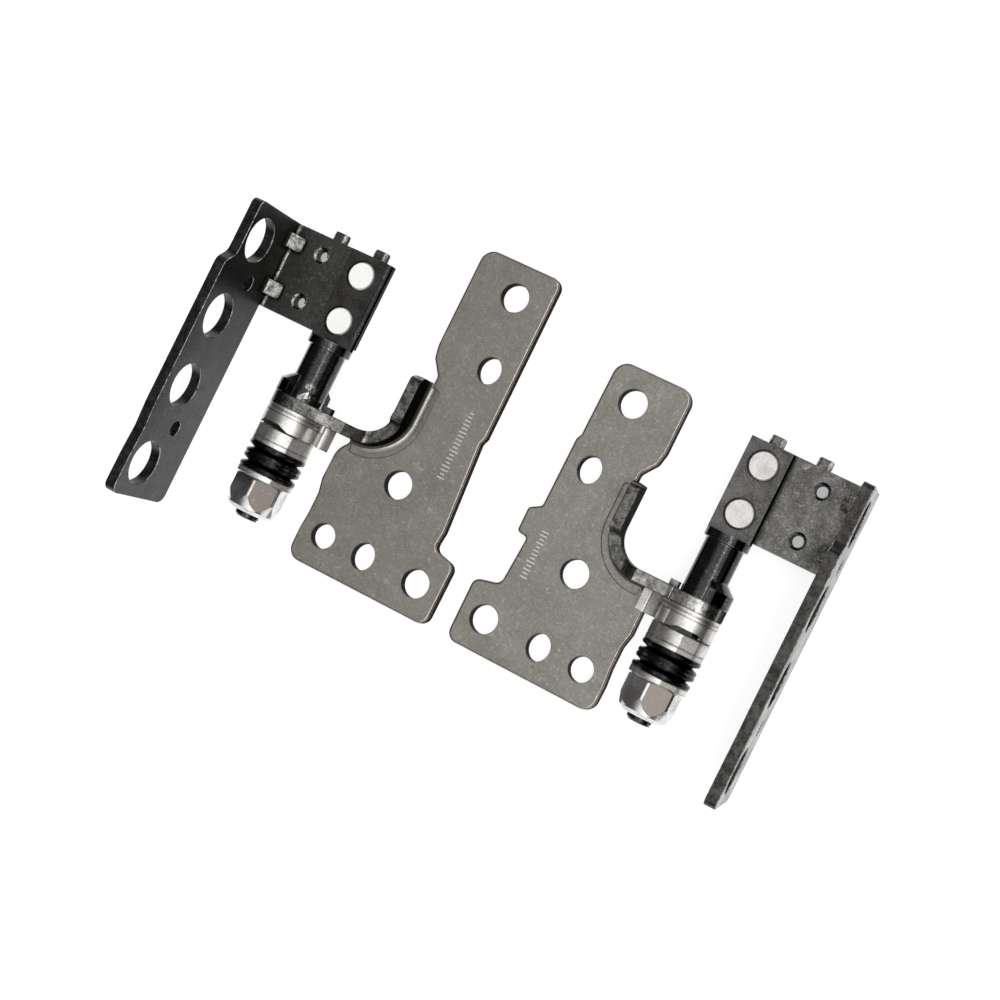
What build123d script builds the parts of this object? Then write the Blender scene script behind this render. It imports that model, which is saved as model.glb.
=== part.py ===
import math
import os

from build123d import *

# Driving dimensions, millimetres. Each hinge is drawn on its own shaft axis:
# u runs from the axis towards the plate, y along the shaft, z up.
sheet = 1.2                 # both brackets are pressed from this stock
axis_height = 3.1           # shaft axis above the underside of the plate
lid_tilt = 4.2              # degrees the lid leaf leans outwards at rest
fit_gap = 0.03
key_gap = 0.04

# Shaft, seen along its length
barrel_r = 2.95             # ring, cams and keyed washers
disc_r = 3.0
journal_r = 1.9
key_r = 1.6                 # keyed length of the shaft
key_flat = 1.15             # half the width across its two flats
thread_r = 1.25             # M2.5 end
neck_r = 1.93
collar_r = 2.27
lug_r = 3.0
lug_arc = (-206.0, -16.0)   # degrees from straight up towards the plate side
tongue_top = 0.75
tongue_bottom = -0.85
ring_bore_r = journal_r + fit_gap

# Stack along the shaft, from the ring towards the nut
ring_face = 0.03
friction_thick = 0.75
fixed_cam_thick = 1.45
cam_gap = 0.1
moving_cam_thick = 1.32
backing_thick = 0.54
spring_sheet = 0.46
spring_pitch = 0.69
spring_knee_r = 2.35        # the discs are flat inside this radius
spring_count = 4
spring_bore_r = 1.66
end_washer_thick = 0.62
nut_height = 3.49
nut_flats = 5.0
tip_out = 0.6
nut_corner_r = 0.45
flat_depth = 0.15
flat_turn = -30.0           # degrees of the keyed flats from straight up
disc_break = 0.06
groove_depth = 0.1

ring_back = ring_face - sheet
friction_y = (ring_back - fit_gap - friction_thick, ring_back - fit_gap)
fixed_cam_y = (friction_y[0] - 0.02 - fixed_cam_thick, friction_y[0] - 0.02)
moving_cam_y = (fixed_cam_y[0] - cam_gap - moving_cam_thick, fixed_cam_y[0] - cam_gap)
backing_y = (moving_cam_y[0] - backing_thick, moving_cam_y[0])
springs_y = (backing_y[0] - spring_count * spring_pitch, backing_y[0])
end_washer_y = (springs_y[0] - end_washer_thick, springs_y[0])
nut_y = (end_washer_y[0] - nut_height, end_washer_y[0])
tip_y = nut_y[0] - tip_out

# Stack along the shaft, from the ring towards the tongue
lug_start = ring_face + fit_gap
lug_thick = 1.39
lug_slope = 0.88
collar_start = 5.6
collar_end = 6.57
collar_break = 0.12
tongue_length = 9.38
tongue_end = collar_end + tongue_length

# Cams: the fixed one hooks a prong through a window of the arm
prong_turn = 25.7           # degrees the top of the prong falls away outwards
prong_in = 3.0
prong_out = 4.2
prong_top = 2.85
prong_depth = 2.3
tang_width = 0.7
tang_depth = 1.0
tang_drop = 0.15
window_gap = 0.05
web_top = -0.6
web_bottom = -1.75
web_out = 4.0
notch_at = -19.5            # degrees from straight up towards the plate
notch_half = 20.5           # floor of the notch; its sides ramp out by notch_lead
notch_lead = 20.0
notch_depth = 0.38
lobe_half = 22.0

# Plate folded into a wall and an arm
wall_top = 4.0
wall_end = 7.4
wall_end_r = 1.1
wall_side_r = 0.5
arm_top = 5.4
corner_top = 3.2            # the wall is lower where it goes round the corner
corner_rise_y = (2.0, 2.5)
corner_rise_u = (7.6, 6.05)
corner_rise_r = 0.3
corner_fall_r = 0.8
wall_break = 0.12
foot_run = 0.8              # the foot of the wall goes on under the arm
bend_centre = (6.43, 3.03)
bend_inner_r = 3.0
root_inner_r = 1.9
root_outer_r = 0.6
plate_break = 0.25
coined = 0.07               # shallow coined band along the foot of the wall
coined_width = 1.2
plate_front = -14.4
plate_end = {"left": 21.85, "right": 17.4}
plate_reach = 18.2
foot_reach = 21.15
feet_gap = 2.3              # between the two plates
axis_half_gap = foot_reach + feet_gap / 2
plate_inner = 9.45
plate_waist_y = (11.0, 9.7) # where the plate narrows to the foot of the wall
plate_corner_r = 1.45
front_inner = 4.8
nub_u = (2.28, 3.2)         # stop that the lug of the shaft meets
nub_out = 0.62
nub_height = 0.9

# Lid bracket
leaf_in = 9.5               # inner face of the upright leaf from the axis
bend_r = 0.35
leaf_break = 0.1            # sheared edges of the leaf are rubbed round
leaf_top = 9.25
leaf_low_top = 7.9
leaf_front = -16.05
leaf_slant = 0.45
leaf_step_y = (9.05, 10.15) # the top edge steps down between these
leaf_dip_y = (-6.6, -9.2, -12.2)
leaf_dip = 0.22
leaf_corner_r = {"heel": 1.0, "back": 0.7, "step": 1.1, "dip": 2.0, "front": 0.9}
leaf_length = 32.1
flange_length = 9.18
flange_inner = -1.85
tab_out = 0.95
tab_width = 1.5
tab_x = (0.0, 4.9)
leaf_holes = ((12.45, 5.05), (3.95, 5.85), (-3.65, 5.6), (-12.25, 6.1))
leaf_hole_d = 4.7
index_holes = ((8.2, 3.4), (-8.0, 3.7))
index_hole_d = 1.6
gusset_reach = 1.55         # along the flange from the inside of the leaf
gusset_rise = 1.6
gusset_width = 1.57
gusset_round = 0.35
tapped_x = 5.8
tapped_y = (8.9, 14.05)
tapped_core_d = 1.36
countersink_d = 1.8

# Rivets through tongue and flange
rivet_y = (8.79, 13.77)
rivet_shank_d = 1.8
rivet_hole_d = 1.84
rivet_head_d = 2.95
rivet_seat_d = 3.1
rivet_sunk = 0.5
rivet_tail_d = 2.7
rivet_tail_height = 0.45

# Holes of the plate, inwards from its long edge and its end
screw_hole_d = 2.9          # M2.5 medium clearance
peg_hole_d = 2.55
slot_size = (2.4, 2.78)
rear_screw_in = (3.67, 3.43)
rear_slot_in = (2.7, 10.95)
mid_screw_in = 5.95
mid_screw_y = -3.15
front_row_in = 3.38
front_screw_in = 2.78       # from the outer edge of the foot
front_slot_u = 12.25
peg_hole_u = 7.53

flange_top = tongue_bottom
flange_bottom = flange_top - sheet
leaf_out = leaf_in + sheet
leaf_foot = flange_top + bend_r
leaf_back = leaf_front + leaf_length
flange_y = (leaf_back - flange_length, leaf_back)
row_shift_y = -(leaf_front + plate_end["left"]) / 2     # puts the middle of the pair at y = 0


def rounded_face(points):
    """Closed face from (a, b, radius) corners, every corner rounded by its own radius."""
    n = len(points)
    starts, ends, corners = [], [], []
    for i, (a, b, r) in enumerate(points):
        pa, pb, _ = points[i - 1]
        na, nb, _ = points[(i + 1) % n]
        v1 = Vector(pa - a, pb - b).normalized()
        v2 = Vector(na - a, nb - b).normalized()
        half = math.radians(v1.get_angle(v2)) / 2
        p = Vector(a, b)
        if r <= 0 or half > math.radians(89.5):
            starts.append(p)
            ends.append(p)
            corners.append(None)
            continue
        t = r / math.tan(half)
        mid = (v1 + v2).normalized()
        starts.append(p + v1 * t)
        ends.append(p + v2 * t)
        corners.append(p + mid * (r / math.sin(half) - r))
    edges = []
    for i in range(n):
        if corners[i] is not None:
            edges.append(ThreePointArc(starts[i], corners[i], ends[i]).edge())
        nxt = starts[(i + 1) % n]
        if (nxt - ends[i]).length > 1e-6:
            edges.append(Line(ends[i], nxt).edge())
    return make_face(Curve() + edges)


def tube(y0, y1, r_out, r_in=0.0):
    """Round bar or ring along the shaft."""
    body = Plane((0, y0, 0), z_dir=(0, 1, 0)) * extrude(Circle(r_out), y1 - y0)
    if r_in > 0:
        body -= Plane((0, y0 - 1, 0), z_dir=(0, 1, 0)) * extrude(Circle(r_in), y1 - y0 + 2)
    return body


def box(x0, x1, y0, y1, z0, z1):
    return Pos((x0 + x1) / 2, (y0 + y1) / 2, (z0 + z1) / 2) * Box(x1 - x0, y1 - y0, z1 - z0)


def sector(a0, a1, y0, y1, r=6.0):
    """Wedge about the shaft; angles run from straight up towards the plate side."""
    steps = max(2, int(abs(a1 - a0) / 20) + 1)
    ring = [(0, 0)]
    for i in range(steps + 1):
        a = math.radians(a0 + (a1 - a0) * i / steps)
        ring.append((r * math.sin(a), r * math.cos(a)))
    face = make_face(Polyline(*ring, close=True))
    return Plane((0, y1, 0), x_dir=(1, 0, 0), z_dir=(0, -1, 0)) * extrude(face, y1 - y0)


def turned(profile):
    """Solid of revolution about the shaft from (radius, y) corners."""
    return revolve(make_face(Polyline(*[(r, y, 0) for r, y in profile], close=True)), Axis.Y)


def keyed_bore(y0, y1, gap=key_gap):
    """Two-flat bore that fits the keyed length of the shaft."""
    width = key_flat + gap
    return tube(y0 - 0.5, y1 + 0.5, key_r + gap) & box(-4, 4, y0 - 0.5, y1 + 0.5, -width, width)


def flatted(y0, y1, r=barrel_r, depth=flat_depth):
    """Disc with four narrow flats on its rim and a light break on its edges."""
    body = tube(y0, y1, r)
    square = box(-(r - depth), r - depth, y0 - 1, y1 + 1, -(r - depth), r - depth)
    body = chamfer((body & (Rot(0, flat_turn, 0) * square)).edges(), disc_break)
    return body - keyed_bore(y0, y1)


def band_plan(r0, r1, end_y, end_u):
    """Plan of a strip that follows the folded wall between two radii."""
    cu, cy = bend_centre
    return rounded_face([
        (cu + r1, cy - r1, r1), (cu + r1, end_y, 0.3), (cu + r0, end_y, 0),
        (cu + r0, cy - r0, r0), (end_u, cy - r0, 0), (end_u, cy - r1, 0.3)])


def folded_wall():
    """Upright wall folded out of the plate: straight, round the corner, on into the arm."""
    cu, cy = bend_centre
    r0, r1 = bend_inner_r, bend_inner_r + sheet
    floor = sheet - coined
    run = root_outer_r + wall_break
    straight_section, corner_section = (rounded_face([
        (r0, 0, root_inner_r), (r1 + run, 0, 0), (r1 + run, floor, 0),
        (r1, floor, root_outer_r), (r1, top, wall_break), (r0, top, wall_break)]) for top in (wall_top, arm_top))
    straight = Plane((cu, wall_end, 0), x_dir=(1, 0, 0), z_dir=(0, -1, 0)) * extrude(
        straight_section, wall_end - cy)
    side = rounded_face([(cy - 1, -1, 0), (wall_end, -1, 0), (wall_end, wall_top, wall_end_r),
                         (cy - 1, wall_top, 0)])
    straight &= Plane((0, 0, 0), x_dir=(0, 1, 0), z_dir=(1, 0, 0)) * extrude(side, cu + 2 * r1)
    straight &= extrude(rounded_face([(cu + r0, cy - 1, 0), (cu + 2 * r1, cy - 1, 0),
                                      (cu + 2 * r1, wall_end, 0), (cu + r0, wall_end, wall_side_r)]),
                        wall_top)
    standing = Plane((cu, cy, 0), x_dir=(1, 0, 0), z_dir=(0, -1, 0)) * corner_section
    corner = revolve(standing, Axis((cu, cy, 0), (0, 0, 1)), -90)
    foot = Plane((cu, cy, 0), x_dir=(0, -1, 0), z_dir=(-1, 0, 0)) * extrude(corner_section, foot_run)
    return straight + corner + foot - corner_cut()


def corner_cut():
    """Taken off the top of the wall round its corner, with the rises to the arm and the wall."""
    cu, cy = bend_centre
    high = arm_top + sheet
    reach = 2 * bend_inner_r
    (y_low, y_high), (u_low, u_high) = corner_rise_y, corner_rise_u
    run_u = (u_low - u_high) * (high - corner_top) / (arm_top - corner_top)
    along = rounded_face([(cy - reach, corner_top, 0), (y_low, corner_top, corner_rise_r),
                          (y_high, wall_top, corner_rise_r), (cy, wall_top, 0), (cy, high, 0),
                          (cy - reach, high, 0)])
    across = rounded_face([(cu + reach, corner_top, 0), (u_low, corner_top, corner_fall_r),
                           (u_low - run_u, high, 0), (cu + reach, high, 0)])
    along = Plane((0, 0, 0), x_dir=(0, 1, 0), z_dir=(1, 0, 0)) * extrude(along, cu + reach)
    return along & (Plane((0, cy, 0), x_dir=(1, 0, 0), z_dir=(0, -1, 0)) * extrude(across, reach))


def plate_outline(side):
    """Corners (u, y, radius) of the plate, round from the arm by the nut to the wall's foot."""
    cu, cy = bend_centre
    front, end = plate_front, plate_end[side]
    foot_y = cy - bend_inner_r - 1.0
    wall_u = cu + bend_inner_r + 1.0
    nose = [
        (5.72, foot_y, 0.2), (5.5, -1.65, 1.4), (front_inner - 0.14, -2.7, 2.0),
        (front_inner - 0.2, -5.9, 1.0), (front_inner + 0.13, -7.4, 1.0),
        (front_inner + 0.13, -9.7, 1.0), (front_inner - 0.02, -11.4, 1.0),
        (front_inner + 0.02, front, 1.35), (foot_reach - 0.05, front + 0.04, 1.1),
        (foot_reach, -7.85, 0.9), (plate_reach + 0.3, -7.2, 0.8)]
    if side == "left":
        long_edge = [(plate_reach + 0.5, -5.3, 1.5), (plate_reach - 0.2, 4.1, 0.4),
                     (plate_reach + 0.06, 4.75, 0.4), (plate_reach, end, 1.05)]
    else:
        long_edge = [(plate_reach, -2.1, 0.35), (plate_reach + 1.18, -1.95, 0.4),
                     (plate_reach + 1.2, 0.65, 0.4), (plate_reach, 1.35, 0.4),
                     (plate_reach - 0.05, 8.6, 0.4), (plate_reach - 0.33, 9.2, 0.4),
                     (plate_reach - 0.44, end, 1.5)]
    inner = [(plate_inner, end, plate_corner_r), (plate_inner, plate_waist_y[0], plate_corner_r),
             (plate_inner + 0.27, plate_waist_y[1], 1.0)]
    root = [(wall_u + 0.42, wall_end + 0.8, 0.8), (wall_u + 0.42, wall_end, 0.1),
            (wall_u, wall_end, 0), (wall_u, foot_y, bend_inner_r + 1.0)]
    return nose + long_edge + inner + root


def base_bracket(side):
    plate = extrude(rounded_face(plate_outline(side)), sheet)
    plate = fillet(plate.edges().filter_by_position(Axis.Z, sheet - 0.01, sheet + 0.01), plate_break)
    end, front_row = plate_end[side], plate_front + front_row_in
    screws = [(plate_reach - rear_screw_in[0], end - rear_screw_in[1]),
              (plate_reach - mid_screw_in, mid_screw_y), (foot_reach - front_screw_in, front_row)]
    for u, y in screws:
        plate -= Pos(u, y, 0) * extrude(Circle(screw_hole_d / 2), sheet)
    plate -= Pos(peg_hole_u, front_row, 0) * extrude(Circle(peg_hole_d / 2), sheet)
    w, h = slot_size
    for u, y in [(plate_reach - rear_slot_in[0], end - rear_slot_in[1]), (front_slot_u, front_row)]:
        plate -= Pos(u, y, 0) * extrude(Ellipse(w / 2, h / 2), sheet)
    plate -= Pos(0, 0, sheet - coined) * extrude(
        band_plan(bend_inner_r, bend_inner_r + sheet + coined_width, wall_end - 0.5, 5.9), 1)
    h0, r = axis_height, barrel_r
    arm = make_face(Polyline(
        (0.6, h0 + r - 0.07), (2.6, h0 + r - 0.45), (4.7, arm_top), (bend_centre[0], arm_top),
        (bend_centre[0], 0.3), (3.6, 0.3), (0.6, h0 - r + 0.07), close=True)) + Pos(0, h0) * Circle(r)
    arm_plane = Plane((0, ring_face, 0), x_dir=(1, 0, 0), z_dir=(0, -1, 0))
    body = plate + folded_wall() + arm_plane * extrude(arm, sheet) - corner_cut()
    body -= Pos(0, 0, h0) * tube(ring_back - 1, ring_face + 1, ring_bore_r)
    nub_top = h0 + fit_gap
    body += box(*nub_u, ring_face - 0.2, ring_face + nub_out, nub_top - nub_height, nub_top)
    body -= Plane((2.05, 0, h0 + 2.74), x_dir=(1, 0, 0), z_dir=(0, 1, 0)) * Cylinder(0.16, 6)
    return body - Pos(0, 0, h0) * prong(ring_back - 1, ring_face + 1, tang_drop, tang_width / 2,
                                        tang_depth, window_gap)


def prong(y0, y1, drop, half, depth, grow=0.0):
    """Bar along the shaft, square to the direction in which the fixed cam's leg stands."""
    middle = (prong_in + prong_out) / 2
    top = prong_top - drop
    bar = box(middle - half - grow, middle + half + grow, y0, y1, top - depth - grow, top + grow)
    return Rot(0, prong_turn, 0) * bar


def fixed_cam():
    y0, y1 = fixed_cam_y
    bore_r = key_r + 2 * fit_gap
    body = tube(y0, y1, barrel_r)
    floor_half = barrel_r * math.sin(math.radians(notch_half))
    mouth_half = barrel_r * math.sin(math.radians(notch_half + notch_lead))
    notch = make_face(Polyline(
        (-mouth_half, y0 - 1), (mouth_half, y0 - 1), (mouth_half, y0), (floor_half, y0 + notch_depth),
        (-floor_half, y0 + notch_depth), (-mouth_half, y0), close=True))
    for a in (notch_at, notch_at + 180):
        body -= Rot(0, a, 0) * Pos(0, 0, 0.8) * extrude(notch, 3)
    back = ring_back - 0.02
    leg = prong(y0, back, 0, (prong_out - prong_in) / 2, prong_depth)
    leg = fillet(leg.edges().filter_by(Axis.Y), 0.15)
    leg += box(key_r + 0.5, web_out, y0, y1, web_bottom, web_top)
    leg += prong(back - 0.1, ring_face, tang_drop, tang_width / 2, tang_depth)
    return body + leg - tube(y0 - 1, y1 + 1, bore_r) - (
        tube(y1, ring_face + 1, barrel_r + 0.15))


def shaft():
    lead = thread_r / 5
    seat = ring_back - fit_gap
    profile = [(0, tip_y), (thread_r - lead, tip_y), (thread_r, tip_y + lead),
               (thread_r, end_washer_y[0]), (key_r, end_washer_y[0]), (key_r, seat),
               (journal_r, seat), (journal_r, ring_face + 0.01), (neck_r, lug_start),
               (neck_r, collar_start), (collar_r, collar_start + collar_break),
               (collar_r, tongue_end), (0, tongue_end)]
    bar = turned(profile)
    wide = 2 * collar_r
    for low, high in ((key_flat, wide), (-wide, -key_flat)):
        bar -= box(-wide, wide, end_washer_y[0], seat, low, high)
    for low, high in ((tongue_top, wide), (-wide, tongue_bottom)):
        bar -= box(-wide, wide, collar_end, tongue_end + 1, low, high)
    lug_end = lug_start + lug_thick
    core_r = neck_r / 2
    lug = turned([(core_r, lug_start), (lug_r, lug_start), (lug_r, lug_end),
                  (neck_r, lug_end + lug_slope), (core_r, lug_end + lug_slope)])
    bar += lug & sector(*lug_arc, lug_start - 0.1, lug_end + lug_slope + 0.1)
    for y in rivet_y:
        bar -= Pos(0, y, tongue_bottom - 1) * extrude(Circle(rivet_hole_d / 2), 4)
        bar -= Pos(0, y, tongue_top - rivet_sunk) * extrude(Circle(rivet_seat_d / 2), 1)
    return bar


def gusset(y):
    """Rib pressed into the inside of the bend."""
    toe, top = gusset_reach, gusset_rise
    shape = make_face(Polyline(
        (-leaf_in - 0.4, flange_top - 0.4), (-leaf_in - 0.4, flange_top + top),
        (-leaf_in + 0.45, flange_top + top), (-leaf_in + toe, flange_top + 0.35),
        (-leaf_in + toe, flange_top - 0.4), close=True))
    plane = Plane((0, y + gusset_width / 2, 0), x_dir=(1, 0, 0), z_dir=(0, -1, 0))
    rib = plane * extrude(shape, gusset_width)
    rib = fillet(rib.edges().filter_by_position(
        Axis.X, -leaf_in + toe - 0.01, -leaf_in + toe + 0.01).filter_by(Axis.Z), gusset_round)
    top_edges = [e for e in rib.edges() if e.center().X > -leaf_in + 0.2 and e.center().Z > flange_top + 0.3]
    return fillet(top_edges, 0.2)


def lid_bracket():
    """Flange under the tongue, bend and upright leaf; drawn with the leaf on the -x side."""
    section = [
        (-flange_inner, flange_top, 0.12), (-leaf_in, flange_top, bend_r),
        (-leaf_in, leaf_foot + 1, 0), (-leaf_out, leaf_foot + 1, 0),
        (-leaf_out, flange_bottom, bend_r + sheet), (-flange_inner, flange_bottom, 0.3),
    ]
    plane = Plane((0, leaf_back, 0), x_dir=(1, 0, 0), z_dir=(0, -1, 0))
    flange = plane * extrude(rounded_face(section), flange_length)
    radius = leaf_corner_r
    leaf = rounded_face([
        (leaf_front + leaf_slant, leaf_foot, radius["heel"]), (flange_y[0], leaf_foot, 0),
        (leaf_back, leaf_foot, 0), (leaf_back, leaf_low_top, radius["back"]),
        (leaf_step_y[1], leaf_low_top, radius["step"]), (leaf_step_y[0], leaf_top, radius["step"]),
        (leaf_dip_y[0], leaf_top, radius["dip"]), (leaf_dip_y[1], leaf_top - leaf_dip, radius["dip"]),
        (leaf_dip_y[2], leaf_top, radius["dip"]), (leaf_front, leaf_top + 0.08, radius["front"])])
    for y, z in leaf_holes:
        leaf -= Pos(y, z) * Circle(leaf_hole_d / 2)
    for y, z in index_holes:
        leaf -= Pos(y, z) * Circle(index_hole_d / 2)
    leaf_plane = Plane((-leaf_in, 0, 0), x_dir=(0, 1, 0), z_dir=(1, 0, 0))
    leaf = leaf_plane * extrude(leaf, -sheet)
    rims = leaf.edges().filter_by_position(Axis.X, -leaf_in - 0.001, -leaf_in + 0.001) + (
        leaf.edges().filter_by_position(Axis.X, -leaf_out - 0.001, -leaf_out + 0.001))
    foot = leaf.edges().filter_by_position(Axis.Z, leaf_foot - 0.001, leaf_foot + 0.001)
    leaf = fillet([e for e in rims if e not in foot], leaf_break)
    body = flange + leaf
    half = tab_width / 2
    for x in tab_x:
        end = leaf_back + tab_out
        tab = box(-x - half, -x + half, leaf_back - 0.3, end, flange_bottom, flange_top)
        tab = fillet(tab.edges().filter_by(Axis.Y), sheet / 3)
        body += fillet(tab.edges().filter_by_position(Axis.Y, end - 0.01, end + 0.01), sheet / 7)
    core, rim = tapped_core_d / 2, countersink_d / 2
    for y in tapped_y:
        body += gusset(y)
        body -= Pos(-tapped_x, y, flange_bottom - 1) * extrude(Circle(core), 4)
        for z, turn in ((flange_top, 0), (flange_bottom, 180)):
            body -= Pos(-tapped_x, y, z) * Rot(turn, 0, 0) * Pos(0, 0, -0.1) * Cone(core, rim, 0.22)
    for y in rivet_y:
        body -= Pos(0, y, flange_bottom - 1) * extrude(Circle(rivet_hole_d / 2), 4)
    return body


def rivet(y):
    head_r, tail_r, edge = rivet_head_d / 2, rivet_tail_d / 2, rivet_tail_height
    head = turned([(0, 0), (0, rivet_sunk), (head_r - 0.16, rivet_sunk), (head_r, rivet_sunk - 0.12),
                   (head_r, 0)])
    body = Pos(0, y, tongue_top - rivet_sunk) * (Rot(90, 0, 0) * head)
    shank = extrude(Circle(rivet_shank_d / 2), tongue_top - rivet_sunk / 2 - flange_bottom)
    body += Pos(0, y, flange_bottom) * shank
    tail = turned([(0, 0), (tail_r, 0), (tail_r, -edge / 2), (tail_r * 0.75, -edge), (0, -edge)])
    return body + Pos(0, y, flange_bottom) * (Rot(90, 0, 0) * tail)


def friction_washer():
    y0, y1 = friction_y
    middle = (y0 + y1) / 2
    groove = tube(middle - 0.06, middle + 0.06, barrel_r + 1, barrel_r - groove_depth)
    return tube(y0, y1, barrel_r) - keyed_bore(y0, y1) - groove


def moving_cam():
    y0, y1 = moving_cam_y
    body = flatted(y0, y1)
    crown = tube(y1 - 0.05, fixed_cam_y[0] - 0.01, barrel_r - 0.1, key_r + 0.3)
    for a in (notch_at + 90, notch_at + 270):
        body += crown & sector(a - lobe_half, a + lobe_half, y1 - 0.2, y1 + 1)
    return body - keyed_bore(y0, y1)


def disc_spring(index):
    """Cone washers stacked in opposed pairs, flat round the bore and raised to the rim."""
    top = springs_y[1] - index * spring_pitch
    low = top - spring_pitch
    a, k, b, t = spring_bore_r, spring_knee_r, disc_r, spring_sheet
    rim = t / 3
    profile = [(a, low), (k, low), (b - rim / 2, top - t), (b, top - t + rim), (b, top - rim),
               (b - rim / 2, top), (k, low + t), (a, low + t)]
    if index % 2:
        profile = [(r, top + low - y) for r, y in profile]
    return turned(profile)


def end_washer():
    return flatted(*end_washer_y)


def nut(clocking):
    y0, y1 = nut_y
    corner = nut_flats / math.sqrt(3)
    outer = corner - nut_corner_r * (corner / (nut_flats / 2) - 1)
    plane = Plane((0, y0, 0), x_dir=(1, 0, 0), z_dir=(0, 1, 0))
    prism = plane * extrude(RegularPolygon(corner, 6), y1 - y0)
    prism = Rot(0, clocking, 0) * fillet(prism.edges().filter_by(Axis.Y), nut_corner_r)
    crown = turned([(0, y0), (1.87, y0), (2.2, y0 + 0.15), (nut_flats / 2 - 0.05, y0 + 0.4),
                    (outer, y0 + 1.6), (outer, y1 - 0.2), (outer - 0.3, y1), (0, y1)])
    body = prism & crown
    body -= tube(y0 - 1, y1 + 1, thread_r + 0.02)
    body -= turned([(0, y0 - 0.1), (1.5, y0 - 0.1), (thread_r, y0 + 0.2), (0, y0 + 0.2)])
    return body


def place(side, shape, lid):
    if lid:
        shape = Rot(0, -lid_tilt, 0) * shape
        shape = Pos(0, 0, axis_height) * shape
    if side == "right":
        shape = mirror(shape, Plane.YZ)
        return Pos(axis_half_gap, row_shift_y, 0) * shape
    return Pos(-axis_half_gap, row_shift_y, 0) * shape


nut_clocking = {"left": -20.8, "right": -21.6}
os.makedirs("parts", exist_ok=True)
for side in ("left", "right"):
    pieces = {
        "base_bracket": (base_bracket(side), False),
        "fixed_cam": (Pos(0, 0, axis_height) * fixed_cam(), False),
        "shaft": (shaft(), True),
        "lid_bracket": (lid_bracket(), True),
        "friction_washer": (friction_washer(), True),
        "moving_cam": (moving_cam(), True),
        "backing_washer": (flatted(*backing_y), True),
        "end_washer": (end_washer(), True),
        "nut": (nut(nut_clocking[side]), True),
    }
    for i, y in enumerate(rivet_y):
        pieces[f"rivet_{i + 1}"] = (rivet(y), True)
    for i in range(spring_count):
        pieces[f"disc_spring_{i + 1}"] = (disc_spring(i), True)
    for name, (shape, lid) in pieces.items():
        export_step(place(side, shape, lid), f"parts/{side}_{name}.step")
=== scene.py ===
import bpy
import math
from mathutils import Matrix, Vector


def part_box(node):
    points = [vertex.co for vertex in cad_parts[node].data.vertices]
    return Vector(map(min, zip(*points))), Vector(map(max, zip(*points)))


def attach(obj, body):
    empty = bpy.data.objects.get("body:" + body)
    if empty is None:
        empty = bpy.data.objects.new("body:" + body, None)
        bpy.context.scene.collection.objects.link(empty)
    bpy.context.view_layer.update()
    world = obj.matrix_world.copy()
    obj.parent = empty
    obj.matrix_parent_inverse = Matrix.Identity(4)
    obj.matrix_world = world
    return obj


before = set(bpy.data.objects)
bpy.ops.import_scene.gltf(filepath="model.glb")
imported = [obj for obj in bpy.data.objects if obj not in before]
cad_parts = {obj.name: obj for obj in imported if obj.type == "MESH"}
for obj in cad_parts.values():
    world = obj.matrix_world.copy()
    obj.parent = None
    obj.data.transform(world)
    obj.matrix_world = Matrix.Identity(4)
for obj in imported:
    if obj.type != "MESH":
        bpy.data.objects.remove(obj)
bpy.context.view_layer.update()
sides = ("left", "right")
mm = 0.001
print("frame loaded:", len(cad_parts), "nodes")


# Camera
cameraSetup = {
    "focalMm": 77.76,
    "sensorMm": 36.0,
    "distance": 0.210,
    "target": (0.00005, -0.0029, 0.0012),
    "leanToRight": 17.2,   # degrees from straight down
    "leanToBack": 0.5,
    "roll": 26.3,
    "nearest": 0.01,
    "farthest": 20.0,
}


def placeCamera(setup):
    lean = math.radians(setup["leanToRight"])
    back = math.radians(setup["leanToBack"])
    away = Vector((math.sin(lean) * math.cos(back), math.sin(back), math.cos(lean) * math.cos(back)))
    up = (Vector((0, 1, 0)) - away * away.y).normalized()
    right = up.cross(away)
    roll = math.radians(setup["roll"])
    imageRight = right * math.cos(roll) + up * math.sin(roll)
    imageUp = up * math.cos(roll) - right * math.sin(roll)
    data = bpy.data.cameras.new("photoCamera")
    data.lens = setup["focalMm"]
    data.sensor_width = setup["sensorMm"]
    data.clip_start = setup["nearest"]
    data.clip_end = setup["farthest"]
    camera = bpy.data.objects.new("photoCamera", data)
    bpy.context.scene.collection.objects.link(camera)
    turn = Matrix((imageRight, imageUp, away)).transposed().to_4x4()
    camera.matrix_world = Matrix.Translation(Vector(setup["target"]) + away * setup["distance"]) @ turn
    bpy.context.scene.camera = camera


placeCamera(cameraSetup)
print("camera placed")


# Small helpers for every node tree; a and b are numbers or sockets
def mathNode(tree, operation, a, b=None, clamp=False):
    node = tree.nodes.new("ShaderNodeMath")
    node.operation = operation
    node.use_clamp = clamp
    for i, value in enumerate((a, b)):
        if value is None:
            continue
        if isinstance(value, (int, float)):
            node.inputs[i].default_value = value
        else:
            tree.links.new(value, node.inputs[i])
    return node.outputs[0]


def rangeNode(tree, value, low, high, toLow=0.0, toHigh=1.0, smooth=False):
    node = tree.nodes.new("ShaderNodeMapRange")
    node.clamp = True
    node.interpolation_type = "SMOOTHSTEP" if smooth else "LINEAR"
    for label, item in (("From Min", low), ("From Max", high), ("To Min", toLow), ("To Max", toHigh)):
        if isinstance(item, (int, float)):
            node.inputs[label].default_value = item
        else:
            tree.links.new(item, node.inputs[label])
    tree.links.new(value, node.inputs["Value"])
    return node.outputs["Result"]


def splitVector(tree, vector):
    node = tree.nodes.new("ShaderNodeSeparateXYZ")
    tree.links.new(vector, node.inputs[0])
    return node.outputs


def times(tree, *values):
    total = values[0]
    for value in values[1:]:
        total = mathNode(tree, "MULTIPLY", total, value)
    return total


def most(tree, *values):
    total = values[0]
    for value in values[1:]:
        total = mathNode(tree, "MAXIMUM", total, value)
    return total


def plus(tree, a, b):
    return mathNode(tree, "ADD", a, b)


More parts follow.
